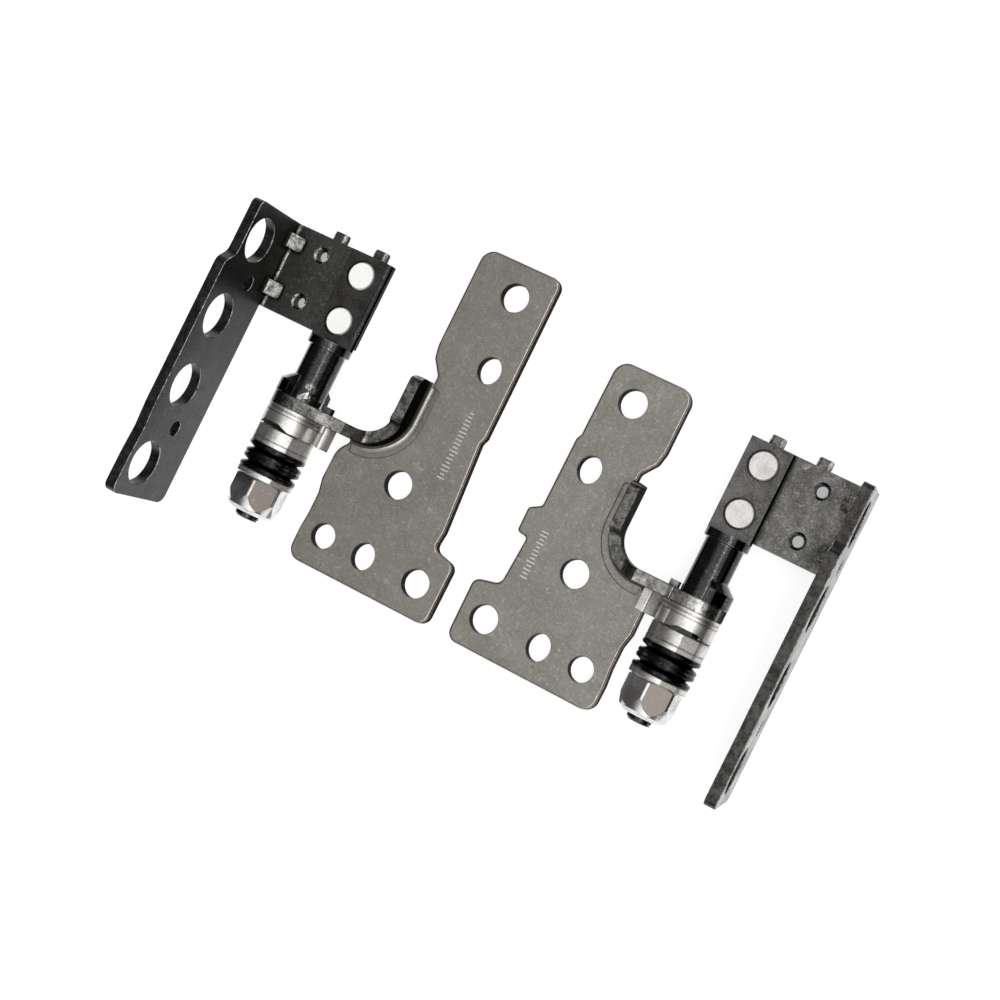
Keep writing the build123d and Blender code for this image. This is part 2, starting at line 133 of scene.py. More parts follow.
def minus(tree, a, b):
    return mathNode(tree, "SUBTRACT", a, b)


def flip(tree, value):
    return minus(tree, 1.0, value)


def size(tree, value):
    return mathNode(tree, "ABSOLUTE", value)


# Studio
studio = {
    "roomLevel": 0.10,       # dim room that dark metal shows
    "boxLevel": 0.95,        # broad softbox overhead
    "boxStart": (-38.0, -2.0),   # degrees from straight up towards +X, dark then full
    "boxEnd": (46.0, 60.0),
    "boxReach": (50.0, 66.0),    # along Y, both ways
    "hotLevel": 2.3,         # lamp inside the softbox
    "hotAt": 25.0,
    "hotHalf": 12.0,
    "backdropLevel": 0.40,   # pale backdrop just above the floor, as metal shows it
    "backdropTop": 0.16,
    "floorGrey": 0.42,
    "floorGlow": 0.82,
    "floorHalf": 1.5,
    "floorDrop": 0.02 * mm,
    "shadeReach": 8.0 * mm,  # floor in the shade of the lid flanges, while they cover it
    "shadeOpen": (0.25, 0.75),
    "shadeBlur": 1.0 * mm,
    "underFlangeX": (25.0 * mm, 31.0 * mm),
    "underFlangeY": (4.6 * mm, 12.6 * mm),
    "underFlangeShade": 0.62,
}


def skyAngle(tree, side, up):   # degrees from straight up towards one axis
    return mathNode(tree, "DEGREES", mathNode(tree, "ARCTAN2", side, up))


def seenBy(tree, *kinds):
    path = tree.nodes.new("ShaderNodeLightPath")
    return most(tree, *(path.outputs[f"Is {kind} Ray"] for kind in kinds))


def buildRoom(setup):
    world = bpy.data.worlds.new("studioRoom")
    world.use_nodes = True
    bpy.context.scene.world = world
    tree = world.node_tree
    tree.nodes.clear()
    where = splitVector(tree, tree.nodes.new("ShaderNodeTexCoord").outputs["Generated"])
    lean = skyAngle(tree, where["X"], where["Z"])
    reach = size(tree, skyAngle(tree, where["Y"], where["Z"]))
    inReach = rangeNode(tree, reach, *setup["boxReach"], 1.0, 0.0, True)
    box = times(tree, rangeNode(tree, lean, *setup["boxStart"], smooth=True),
                rangeNode(tree, lean, *setup["boxEnd"], 1.0, 0.0, True), setup["boxLevel"])
    fromHot = size(tree, minus(tree, lean, setup["hotAt"]))
    hot = rangeNode(tree, fromHot, 0.0, setup["hotHalf"], setup["hotLevel"], 0.0, True)
    light = times(tree, inReach, plus(tree, hot, box))
    backdrop = rangeNode(tree, where["Z"], 0.0, setup["backdropTop"],
                         setup["backdropLevel"], setup["roomLevel"], True)
    room = tree.nodes.new("ShaderNodeBackground")
    tree.links.new(plus(tree, light, backdrop), room.inputs["Strength"])
    white = tree.nodes.new("ShaderNodeBackground")
    white.inputs["Strength"].default_value = 1.0
    for shade in (room, white):
        shade.inputs["Color"].default_value = (1, 1, 1, 1)
    mix = tree.nodes.new("ShaderNodeMixShader")
    out = tree.nodes.new("ShaderNodeOutputWorld")
    tree.links.new(seenBy(tree, "Camera", "Transmission"), mix.inputs["Fac"])
    tree.links.new(room.outputs[0], mix.inputs[1])
    tree.links.new(white.outputs[0], mix.inputs[2])
    tree.links.new(mix.outputs[0], out.inputs["Surface"])


def buildFloor(setup):
    half = setup["floorHalf"]
    corners = [(-half, -half, 0), (half, -half, 0), (half, half, 0), (-half, half, 0)]
    mesh = bpy.data.meshes.new("paleFloor")
    mesh.from_pydata(corners, [], [(0, 1, 2, 3)])
    floor = bpy.data.objects.new("paleFloor", mesh)
    bpy.context.scene.collection.objects.link(floor)
    floor.location.z = -setup["floorDrop"]
    material = bpy.data.materials.new("paleFloor")
    material.use_nodes = True
    tree = material.node_tree
    tree.nodes.clear()
    paper = tree.nodes.new("ShaderNodeBsdfDiffuse")
    paper.inputs["Color"].default_value = (setup["floorGrey"],) * 3 + (1,)
    where = splitVector(tree, tree.nodes.new("ShaderNodeTexCoord").outputs["Object"])
    cover = tree.nodes.new("ShaderNodeAmbientOcclusion")
    cover.samples = 2
    cover.inputs["Distance"].default_value = setup["shadeReach"]
    shade = rangeNode(tree, cover.outputs["AO"], *setup["shadeOpen"], setup["underFlangeShade"], 0.0)
    blur = setup["shadeBlur"]
    for value, (low, high) in ((size(tree, where["X"]), setup["underFlangeX"]),
                               (where["Y"], setup["underFlangeY"])):
        shade = times(tree, rangeNode(tree, value, low - blur, low + blur, smooth=True),
                      rangeNode(tree, value, high + blur, high - blur, smooth=True), shade)
    glow = tree.nodes.new("ShaderNodeEmission")
    glow.inputs["Color"].default_value = (1, 1, 1, 1)
    level = times(tree, flip(tree, shade), setup["floorGlow"])
    seen = seenBy(tree, "Camera", "Glossy", "Transmission")
    tree.links.new(times(tree, seen, level), glow.inputs["Strength"])
    both = tree.nodes.new("ShaderNodeAddShader")
    out = tree.nodes.new("ShaderNodeOutputMaterial")
    tree.links.new(paper.outputs[0], both.inputs[0])
    tree.links.new(glow.outputs[0], both.inputs[1])
    tree.links.new(both.outputs[0], out.inputs["Surface"])
    mesh.materials.append(material)


buildRoom(studio)
buildFloor(studio)
bpy.context.scene.view_settings.view_transform = "Standard"
print("studio lit")


# Shader groups shared by the finishes
def groupTree(name, inputs, output):
    tree = bpy.data.node_groups.new(name, "ShaderNodeTree")
    for label, kind, value in inputs:
        socket = tree.interface.new_socket(label, in_out="INPUT", socket_type=f"NodeSocket{kind}")
        if value is not None:
            socket.default_value = value
    tree.interface.new_socket(output, in_out="OUTPUT", socket_type="NodeSocketFloat")
    return tree, tree.nodes.new("NodeGroupInput").outputs, tree.nodes.new("NodeGroupOutput").inputs


def noiseNode(tree, vector, scale, detail=2.0, rough=0.5, warp=0.0):
    node = tree.nodes.new("ShaderNodeTexNoise")
    node.inputs["Detail"].default_value = detail
    node.inputs["Roughness"].default_value = rough
    node.inputs["Distortion"].default_value = warp
    tree.links.new(vector, node.inputs["Vector"])
    if isinstance(scale, (int, float)):
        node.inputs["Scale"].default_value = scale
    else:
        tree.links.new(scale, node.inputs["Scale"])
    return node.outputs["Fac"]


def offsetNode(tree, vector, amount):
    node = tree.nodes.new("ShaderNodeVectorMath")
    node.operation = "ADD"
    node.inputs[1].default_value = amount
    tree.links.new(vector, node.inputs[0])
    return node.outputs[0]


def buildHairScratches():   # thin lines where a noise crosses its middle, kept in patches
    tree, inside, outside = groupTree("hairScratches", [
        ("Vector", "Vector", None), ("Scale", "Float", 500.0),
        ("Width", "Float", 0.01), ("Cover", "Float", 0.5)], "Mask")
    layers = (((0.013, 0.002, 0.0), 1.0), ((-0.02, 0.031, 0.004), 0.8), ((0.05, -0.017, 0.01), 0.6))
    keepFrom = minus(tree, 0.68, times(tree, inside["Cover"], 0.3))
    patchScale = times(tree, inside["Scale"], 1.7)
    parts = []
    for shift, share in layers:
        place = offsetNode(tree, inside["Vector"], shift)
        lines = noiseNode(tree, place, inside["Scale"], 1.0, 0.4, 0.6)
        thin = rangeNode(tree, size(tree, minus(tree, lines, 0.5)), 0.0, inside["Width"], 1.0, 0.0)
        patch = noiseNode(tree, offsetNode(tree, place, (0.1, 0.2, 0.3)), patchScale, 2.0)
        parts.append(times(tree, thin, rangeNode(tree, patch, keepFrom, 0.72), share))
    tree.links.new(most(tree, *parts), outside["Mask"])
    return tree


def buildSpecks():
    tree, inside, outside = groupTree("metalSpecks", [
        ("Vector", "Vector", None), ("Scale", "Float", 2500.0), ("Cover", "Float", 0.3)], "Mask")
    cells = tree.nodes.new("ShaderNodeTexVoronoi")
    cells.inputs["Randomness"].default_value = 1.0
    tree.links.new(inside["Vector"], cells.inputs["Vector"])
    tree.links.new(inside["Scale"], cells.inputs["Scale"])
    dot = rangeNode(tree, cells.outputs["Distance"], 0.18, 0.34, 1.0, 0.0)
    pick = tree.nodes.new("ShaderNodeSeparateColor")
    tree.links.new(cells.outputs["Color"], pick.inputs[0])
    keep = mathNode(tree, "LESS_THAN", pick.outputs[0], inside["Cover"])
    tree.links.new(times(tree, dot, keep), outside["Mask"])
    return tree


def buildMottle():
    tree, inside, outside = groupTree("steelMottle", [
        ("Vector", "Vector", None), ("Scale", "Float", 300.0), ("Contrast", "Float", 1.0)], "Value")
    broad = noiseNode(tree, inside["Vector"], inside["Scale"], 3.0, 0.55)
    fine = noiseNode(tree, inside["Vector"], times(tree, inside["Scale"], 9.0), 3.0, 0.7)
    both = plus(tree, times(tree, broad, 0.55), times(tree, fine, 0.45))
    spread = times(tree, minus(tree, both, 0.5), inside["Contrast"])
    tree.links.new(mathNode(tree, "ADD", spread, 0.5, clamp=True), outside["Value"])
    return tree


def buildEdgeRub():   # outer edges within the radius, broken by a noise; masks edge wear and painted edge shade
    tree, inside, outside = groupTree("edgeWearAndShade", [
        ("Vector", "Vector", None), ("Break", "Float", 0.5), ("Radius", "Float", 0.13 * mm)], "Mask")
    soft = tree.nodes.new("ShaderNodeBevel")
    soft.samples = 4
    tree.links.new(inside["Radius"], soft.inputs["Radius"])
    shape = tree.nodes.new("ShaderNodeNewGeometry")
    dot = tree.nodes.new("ShaderNodeVectorMath")
    dot.operation = "DOT_PRODUCT"
    tree.links.new(soft.outputs[0], dot.inputs[0])
    tree.links.new(shape.outputs["Normal"], dot.inputs[1])
    edge = rangeNode(tree, dot.outputs["Value"], 0.995, 0.9)
    chips = noiseNode(tree, inside["Vector"], 1800.0, 3.0, 0.6)
    keep = rangeNode(tree, chips, minus(tree, inside["Break"], 0.12), inside["Break"])
    tree.links.new(times(tree, edge, keep), outside["Mask"])
    return tree


def buildCrevice():   # painted shade in inner corners and under what lies close above, from ambient occlusion
    tree, inside, outside = groupTree("creviceShade", [("Reach", "Float", 0.3 * mm)], "Mask")
    cover = tree.nodes.new("ShaderNodeAmbientOcclusion")
    cover.samples = 4
    tree.links.new(inside["Reach"], cover.inputs["Distance"])
    tree.links.new(rangeNode(tree, cover.outputs["AO"], 0.35, 0.85, 1.0, 0.0), outside["Mask"])
    return tree


hairScratches = buildHairScratches()
metalSpecks = buildSpecks()
steelMottle = buildMottle()
edgeWearAndShade = buildEdgeRub()
creviceShade = buildCrevice()
print("shader groups built")


# Finishes
def startFinish(name, roughness):
    material = bpy.data.materials.new(name)
    material.use_nodes = True
    tree = material.node_tree
    surface = tree.nodes["Principled BSDF"]
    surface.inputs["Roughness"].default_value = roughness
    surface.inputs["Metallic"].default_value = 1.0
    coords = tree.nodes.new("ShaderNodeTexCoord")
    return material, tree, surface, coords.outputs["Object"], coords.outputs["Normal"]


def placeGroup(tree, group, vector=None, **values):
    node = tree.nodes.new("ShaderNodeGroup")
    node.node_tree = group
    if vector is not None:
        tree.links.new(vector, node.inputs["Vector"])
    for label, value in values.items():
        node.inputs[label].default_value = value
    return node.outputs[0]


def mixColour(tree, amount, a, b):
    node = tree.nodes.new("ShaderNodeMix")
    node.data_type = "RGBA"
    for index, value in ((0, amount), (6, a), (7, b)):
        if isinstance(value, (int, float)):
            node.inputs[index].default_value = value
        elif isinstance(value, tuple):
            node.inputs[index].default_value = value + (1,)
        else:
            tree.links.new(value, node.inputs[index])
    return node.outputs[2]


def dullSheen(tree, surface, mask, level):   # less glancing shine where the mask is, used as painted shade on side faces
    tint = mixColour(tree, mask, (1.0, 1.0, 1.0), (level,) * 3)
    tree.links.new(tint, surface.inputs["Specular Tint"])


def bumpFrom(tree, surface, height, distance, strength=1.0):
    bump = tree.nodes.new("ShaderNodeBump")
    bump.inputs["Distance"].default_value = distance
    bump.inputs["Strength"].default_value = strength
    tree.links.new(height, bump.inputs["Height"])
    tree.links.new(bump.outputs[0], surface.inputs["Normal"])


shear = {
    "patchScale": 1500.0,
    "grainScale": 5200.0,
    "patchShare": 0.72,
    "darkToBright": (0.40, 0.65),
    "specks": {"Scale": 8200.0, "Cover": 0.16},
    "speckShare": 0.5,
}


def shearedColour(tree, place, dark, bright, speck):   # smeared patches of a sheared sheet's edge
    patch = noiseNode(tree, place, shear["patchScale"], 4.0, 0.6, 0.4)
    grain = noiseNode(tree, offsetNode(tree, place, (0.03, 0.01, 0.02)), shear["grainScale"], 3.0, 0.6)
    share = shear["patchShare"]
    both = plus(tree, times(tree, patch, share), times(tree, grain, 1.0 - share))
    colour = mixColour(tree, rangeNode(tree, both, *shear["darkToBright"]), dark, bright)
    specks = placeGroup(tree, metalSpecks, place, **shear["specks"])
    return mixColour(tree, times(tree, specks, shear["speckShare"]), colour, speck)


plateLook = {
    "steel": (0.385, 0.360, 0.325),
    "darkSteel": (0.27, 0.254, 0.230),
    "scratch": (0.64, 0.62, 0.58),
    "etched": (0.86, 0.85, 0.82),
    # upright faces near black: painted shade
    "side": (0.045, 0.042, 0.038),
    "sideSheen": 0.35,   # how much a sheared side still shines at a glance; lowered as painted shade
    # wall and arm faces near black: painted shade
    "wall": (0.030, 0.030, 0.030),
    "torn": ((0.055, 0.055, 0.053), (0.34, 0.333, 0.315), (0.60, 0.585, 0.55)),
    "rubbedTorn": ((0.22, 0.215, 0.205), (0.78, 0.765, 0.73), (0.95, 0.94, 0.91)),
    # near-black for painted shade along edges and in corners
    "rim": (0.030, 0.029, 0.027),
    "wallFrom": (1.3 * mm, 1.75 * mm),   # the wall and arm begin above the sheet
    "armFrom": (15.4 * mm, 15.9 * mm),   # arm and ring begin beyond the wall's curve
    "ringFrom": (19.2 * mm, 19.8 * mm),
    "roughness": 0.36,
    "roundedPolish": 0.14,   # rolled-over edges are smoother
    "mottle": {"Scale": 420.0, "Contrast": 2.9},
    "hairs": {"Scale": 640.0, "Width": 0.015, "Cover": 0.62},
    "fineHairs": {"Scale": 1500.0, "Width": 0.028, "Cover": 0.72},
    "specks": {"Scale": 5600.0, "Cover": 0.12},
    "edge": {"Break": 0.3, "Radius": 0.15 * mm},
    # reach of the painted corner shade
    "corner": {"Reach": 0.5 * mm},
    "grain": {"Scale": 1300.0, "Contrast": 1.5},
    "grainDepth": 0.01 * mm,
}


def plateFinish(look):
    material, tree, surface, place, normal = startFinish("platedPlateSteel", look["roughness"])
    at, face = splitVector(tree, place), splitVector(tree, normal)
    out, up = size(tree, at["X"]), size(tree, face["Z"])
    upright = rangeNode(tree, up, 0.1, 0.5, 1.0, 0.0)
    flat = rangeNode(tree, up, 0.35, 0.7)
    high = rangeNode(tree, at["Z"], *look["wallFrom"])
    mottle = placeGroup(tree, steelMottle, place, **look["mottle"])
    hairs = placeGroup(tree, hairScratches, place, **look["hairs"])
    fineHairs = placeGroup(tree, hairScratches, place, **look["fineHairs"])
    specks = placeGroup(tree, metalSpecks, place, **look["specks"])
    colour = mixColour(tree, mottle, look["darkSteel"], look["steel"])
    # upright faces take the near-black side colour as painted shade
    colour = mixColour(tree, upright, colour, look["side"])
    marks = most(tree, hairs, times(tree, fineHairs, 0.8), times(tree, specks, 0.85))
    marks = times(tree, marks, flip(tree, times(tree, upright, 0.8)))
    colour = mixColour(tree, marks, colour, look["scratch"])
    # upright faces of the wall and arm painted near black as shade
    colour = mixColour(tree, times(tree, high, flip(tree, flat)), colour, look["wall"])
    # sheared tops: lighter on the arm and ring, darker on the wall and on the left hinge's ring
    arm = rangeNode(tree, out, *look["armFrom"])
    leftSide = mathNode(tree, "LESS_THAN", at["X"], 0.0)
    darkRing = times(tree, rangeNode(tree, out, *look["ringFrom"]), leftSide)
    torn = mixColour(tree, times(tree, arm, flip(tree, darkRing)),
                     shearedColour(tree, place, *look["torn"]),
                     shearedColour(tree, place, *look["rubbedTorn"]))
    colour = mixColour(tree, times(tree, high, flat), colour, torn)
    # near-black outline along the plate's edges: painted edge shade
    rim = placeGroup(tree, edgeWearAndShade, place, **look["edge"])
    colour = mixColour(tree, times(tree, rim, 0.9), colour, look["rim"])
    # painted shade in inner corners and under close parts
    corner = placeGroup(tree, creviceShade, **look["corner"])
    colour = mixColour(tree, times(tree, corner, 0.8), colour, look["rim"])
    tree.links.new(colour, surface.inputs["Base Color"])
    grain = placeGroup(tree, steelMottle, place, **look["grain"])
    bumpFrom(tree, surface, minus(tree, grain, times(tree, hairs, 0.4)), look["grainDepth"], 0.5)
    # duller glancing shine on upright faces: painted shade
    dullSheen(tree, surface, upright, look["sideSheen"])
    rounded = times(tree, rangeNode(tree, up, 0.999, 0.95), rangeNode(tree, up, 0.05, 0.2))
    rough = rangeNode(tree, mottle, 0.2, 0.8, look["roughness"] + 0.06, look["roughness"] - 0.05)
    rough = minus(tree, rough, times(tree, rounded, look["roundedPolish"]))
    tree.links.new(rough, surface.inputs["Roughness"])
    return material


tapped = {
    "out": 5.8 * mm,       # from the shaft axis
    "y": (6.0 * mm, 11.15 * mm),
    "top": -0.95 * mm,     # below the shaft axis
    "lidTilt": math.radians(4.2),
    "pitch": 0.35 * mm,
    "turns": 3.0,
    "coreRadius": 0.68 * mm,
    "ridge": 0.06 * mm,
    "middleX": 28.02 * mm,   # of the tilted holes, from the middle of the pair
    "mouth": 0.84 * mm,      # painted shade ring round each hole, and its soft edge
    "mouthBlur": 0.04 * mm,
}
lidLook = {
    "steel": (0.185, 0.181, 0.170),
    "darkSteel": (0.085, 0.083, 0.079),
    "worn": (0.42, 0.41, 0.385),
    # leaf faces darker than the flange: painted shade
    "leaf": (0.052, 0.053, 0.054),
    "leafShadeDarkest": (0.014, 0.014, 0.014),
    "leafShadeDarkestShare": 0.85,
    "leafShadeSpan": (-6.0 * mm, 5.0 * mm),   # painted shade along Y, darkest towards the flange
    "leafFrom": (31.5 * mm, 31.75 * mm),
    # upright flange faces darker: painted shade
    "paintedSideShade": (0.05, 0.05, 0.048),
    "sideSheen": 0.5,
    "torn": ((0.036, 0.034, 0.032), (0.105, 0.10, 0.093), (0.34, 0.325, 0.305)),
    # bright colour for the gussets' painted highlight
    "rubbed": (1.0, 0.985, 0.95),
    # near-black for painted shade at hole mouths, gusset outlines and corners
    "rim": (0.012, 0.012, 0.012),
    "roughness": 0.30,
    "mottle": {"Scale": 520.0, "Contrast": 4.6},
    "hairs": {"Scale": 1000.0, "Width": 0.026, "Cover": 0.75},
    "specks": {"Scale": 5200.0, "Cover": 0.24},
    "gussetEdge": {"Break": 0.2, "Radius": 0.14 * mm},
    "edge": {"Break": 0.5, "Radius": 0.10 * mm},
    "corner": {"Reach": 0.6 * mm},
    "grain": {"Scale": 1500.0, "Contrast": 1.8},
    "grainDepth": 0.014 * mm,
}


def lidFinish(look):
    material, tree, surface, place, normal = startFinish("darkLidSteel", look["roughness"])
    at, face = splitVector(tree, place), splitVector(tree, normal)
    out, outward = size(tree, at["X"]), size(tree, face["X"])
    mottle = placeGroup(tree, steelMottle, place, **look["mottle"])
    hairs = placeGroup(tree, hairScratches, place, **look["hairs"])
    specks = placeGroup(tree, metalSpecks, place, **look["specks"])
    marks = most(tree, hairs, times(tree, specks, 0.6))
    colour = mixColour(tree, mottle, look["darkSteel"], look["steel"])
    colour = mixColour(tree, marks, colour, look["worn"])
    leaf = rangeNode(tree, out, *look["leafFrom"])
    side = rangeNode(tree, outward, 0.45, 0.8)
    # leaf faces take a darker colour as painted shade
    leafPaintedShade = mixColour(tree, times(tree, mottle, 0.4), look["leaf"], look["darkSteel"])
    leafPaintedShade = mixColour(tree, times(tree, marks, 0.15), leafPaintedShade, look["worn"])
    # painted shade on the leaf, darker towards the flange
    shadeTowardsFlange = rangeNode(tree, at["Y"], *look["leafShadeSpan"], 0.0, look["leafShadeDarkestShare"])
    leafPaintedShade = mixColour(tree, shadeTowardsFlange, leafPaintedShade, look["leafShadeDarkest"])
    colour = mixColour(tree, times(tree, leaf, side), colour, leafPaintedShade)
    torn = shearedColour(tree, place, *look["torn"])
    colour = mixColour(tree, times(tree, leaf, flip(tree, side)), colour, torn)
    rings = []   # painted shade rings at the mouths of the tapped holes
    for y in tapped["y"]:
        across, along = minus(tree, out, tapped["middleX"]), minus(tree, at["Y"], y)
        away = mathNode(tree, "SQRT", plus(tree, times(tree, across, across), times(tree, along, along)))
        rings.append(rangeNode(tree, away, tapped["mouth"] + tapped["mouthBlur"], tapped["mouth"]))
    colour = mixColour(tree, times(tree, most(tree, *rings), 0.95), colour, look["rim"])
    # upright faces off the leaf painted dark as shade, with duller glancing shine
    paintedSideShade = rangeNode(tree, size(tree, face["Z"]), 0.12, 0.3, 1.0, 0.0)
    paintedSideShade = times(tree, flip(tree, leaf), paintedSideShade)
    colour = mixColour(tree, paintedSideShade, colour, look["paintedSideShade"])
    dullSheen(tree, surface, paintedSideShade, look["sideSheen"])
    # gusset slopes: chipped bright patches, a painted highlight
    gusset = times(tree, rangeNode(tree, outward, 0.25, 0.5), rangeNode(tree, face["Z"], 0.25, 0.5))
    chips = noiseNode(tree, place, 2600.0, 4.0, 0.66)
    colour = mixColour(tree, times(tree, gusset, rangeNode(tree, chips, 0.36, 0.62)), colour, look["rubbed"])
    # dark outline round the gussets: painted shade
    outline = placeGroup(tree, edgeWearAndShade, place, **look["gussetEdge"])
    colour = mixColour(tree, times(tree, gusset, outline), colour, look["rim"])
    rub = placeGroup(tree, edgeWearAndShade, place, **look["edge"])
    colour = mixColour(tree, times(tree, rub, 0.4), colour, look["worn"])
    # painted shade in inner corners and under close parts
    colour = mixColour(tree, placeGroup(tree, creviceShade, **look["corner"]), colour, look["rim"])
    tree.links.new(colour, surface.inputs["Base Color"])
    grain = placeGroup(tree, steelMottle, place, **look["grain"])
    bumpFrom(tree, surface, grain, look["grainDepth"], 0.7)
    rough = rangeNode(tree, mottle, 0.2, 0.8, look["roughness"] + 0.1, look["roughness"] - 0.04)
    rough = plus(tree, rough, times(tree, gusset, 0.2))
    tree.links.new(minus(tree, rough, times(tree, leaf, side, 0.1)), surface.inputs["Roughness"])
    return material


blackLook = {
    "oxide": (0.048, 0.048, 0.049),
    "worn": (0.30, 0.295, 0.28),
    "rubbed": (0.62, 0.60, 0.57),
    "wear": 0.5,
    "roughness": 0.12,
    "mottle": {"Scale": 700.0, "Contrast": 2.6},
    "specks": {"Scale": 6200.0, "Cover": 0.45},
    "edge": {"Break": 0.5, "Radius": 0.10 * mm},
    "grain": {"Scale": 2200.0, "Contrast": 1.8},
    "grainDepth": 0.0025 * mm,
}
shaftLook = dict(   # tongue finished like the bracket, its sides dulled as painted shade; lug rubbed bright by its stop
    blackLook, tongue=(0.165, 0.160, 0.151), darkTongue=(0.070, 0.068, 0.065),
    tongueRoughness=0.3, tongueSideShade=0.15, tongueFrom=(3.55 * mm, 3.7 * mm),
    tongueMottle={"Scale": 560.0, "Contrast": 4.5}, lugBetween=(-2.9 * mm, -0.9 * mm))
springLook = dict(blackLook, oxide=(0.012, 0.012, 0.013), wear=0.2, roughness=0.2)


def blackFinish(name, look):
    material, tree, surface, place, normal = startFinish(name, look["roughness"])
    wear = look["wear"]
    mottle = placeGroup(tree, steelMottle, place, **look["mottle"])
    specks = placeGroup(tree, metalSpecks, place, **look["specks"])
    grains = noiseNode(tree, place, 5200.0, 2.0, 0.5)
    thin = times(tree, rangeNode(tree, mottle, 0.42, 0.8), rangeNode(tree, grains, 0.5, 0.62))
    colour = mixColour(tree, times(tree, thin, wear), look["oxide"], look["worn"])
    colour = mixColour(tree, times(tree, specks, wear * 0.7), colour, look["worn"])
    rub = placeGroup(tree, edgeWearAndShade, place, **look["edge"])
    colour = mixColour(tree, times(tree, rub, wear), colour, look["rubbed"])
    if "tongue" in look:
        at, face = splitVector(tree, place), splitVector(tree, normal)
        up = rangeNode(tree, face["Z"], 0.85, 0.97)
        beyond = rangeNode(tree, at["Y"], *look["tongueFrom"])
        tongue = times(tree, beyond, up)
        # duller glancing shine on the tongue's sides: painted shade line
        dullSheen(tree, surface, times(tree, beyond, flip(tree, up)), look["tongueSideShade"])
        rough = rangeNode(tree, tongue, 0.0, 1.0, look["roughness"], look["tongueRoughness"])
        tree.links.new(rough, surface.inputs["Roughness"])
        broad = placeGroup(tree, steelMottle, place, **look["tongueMottle"])
        shade = mixColour(tree, broad, look["darkTongue"], look["tongue"])
        shade = mixColour(tree, times(tree, specks, 0.75), shade, look["worn"])
        colour = mixColour(tree, tongue, colour, shade)
        low, high = look["lugBetween"]
        lug = times(tree, rangeNode(tree, at["Y"], high, high - 0.5 * mm),
                    rangeNode(tree, at["Y"], low, low + 0.1 * mm),
                    mathNode(tree, "LESS_THAN", at["X"], 0.0))
        smear = noiseNode(tree, offsetNode(tree, place, (0.002, 0.0, 0.0)), 900.0, 3.0, 0.6, 1.2)
        smear = rangeNode(tree, smear, 0.52, 0.6)
        colour = mixColour(tree, times(tree, lug, smear, 0.8), colour, look["rubbed"])
    tree.links.new(colour, surface.inputs["Base Color"])
    grain = placeGroup(tree, steelMottle, place, **look["grain"])
    bumpFrom(tree, surface, grain, look["grainDepth"], 0.8)
    return material


brightLook = {
    "steel": (0.86, 0.845, 0.81),
    "dark": (0.50, 0.485, 0.46),
    "stain": (0.42, 0.36, 0.31),
    "stainShare": 0.15,
    # near-black outline painted along edges as shade
    "line": (0.020, 0.019, 0.018),
    "lineShare": 0.9,
    "roughness": 0.38,
    "mottle": {"Scale": 520.0, "Contrast": 2.4},
    "specks": {"Scale": 4200.0, "Cover": 0.16},
    "edge": {"Break": 0.25, "Radius": 0.14 * mm},
    "grain": {"Scale": 1400.0, "Contrast": 1.5},
    "grainDepth": 0.005 * mm,
    "turned": (60, 9000, 60),   # turning marks round the shaft, in lines along Y
    "slant": 0.0,      # how far the face is ground off square
    "legSlant": 0.0,   # how far the outer face of the stop leg leans to its own side
    "legBend": 0.0,
    "dullLeg": 0.8,
}
leftCamLook = dict(brightLook, roughness=0.34, legFrom=18.35 * mm, legBend=-350.0)
rightCamLook = dict(brightLook, legFrom=20.9 * mm, legSlant=0.5)   # from the middle of the pair
rivetLook = dict(brightLook, steel=(0.79, 0.775, 0.745), dark=(0.52, 0.51, 0.485),
                 roughness=0.34, stainShare=0.0, turned=None)
paleRivetLook = dict(rivetLook, steel=(0.97, 0.965, 0.95), dark=(0.88, 0.87, 0.85), slant=0.25)
nutLook = dict(brightLook, steel=(0.80, 0.79, 0.78), dark=(0.40, 0.405, 0.415), roughness=0.22,
               facetReflection=(0.30, 0.262, 0.235), stainShare=0.3, lineShare=0.6, turned=None)


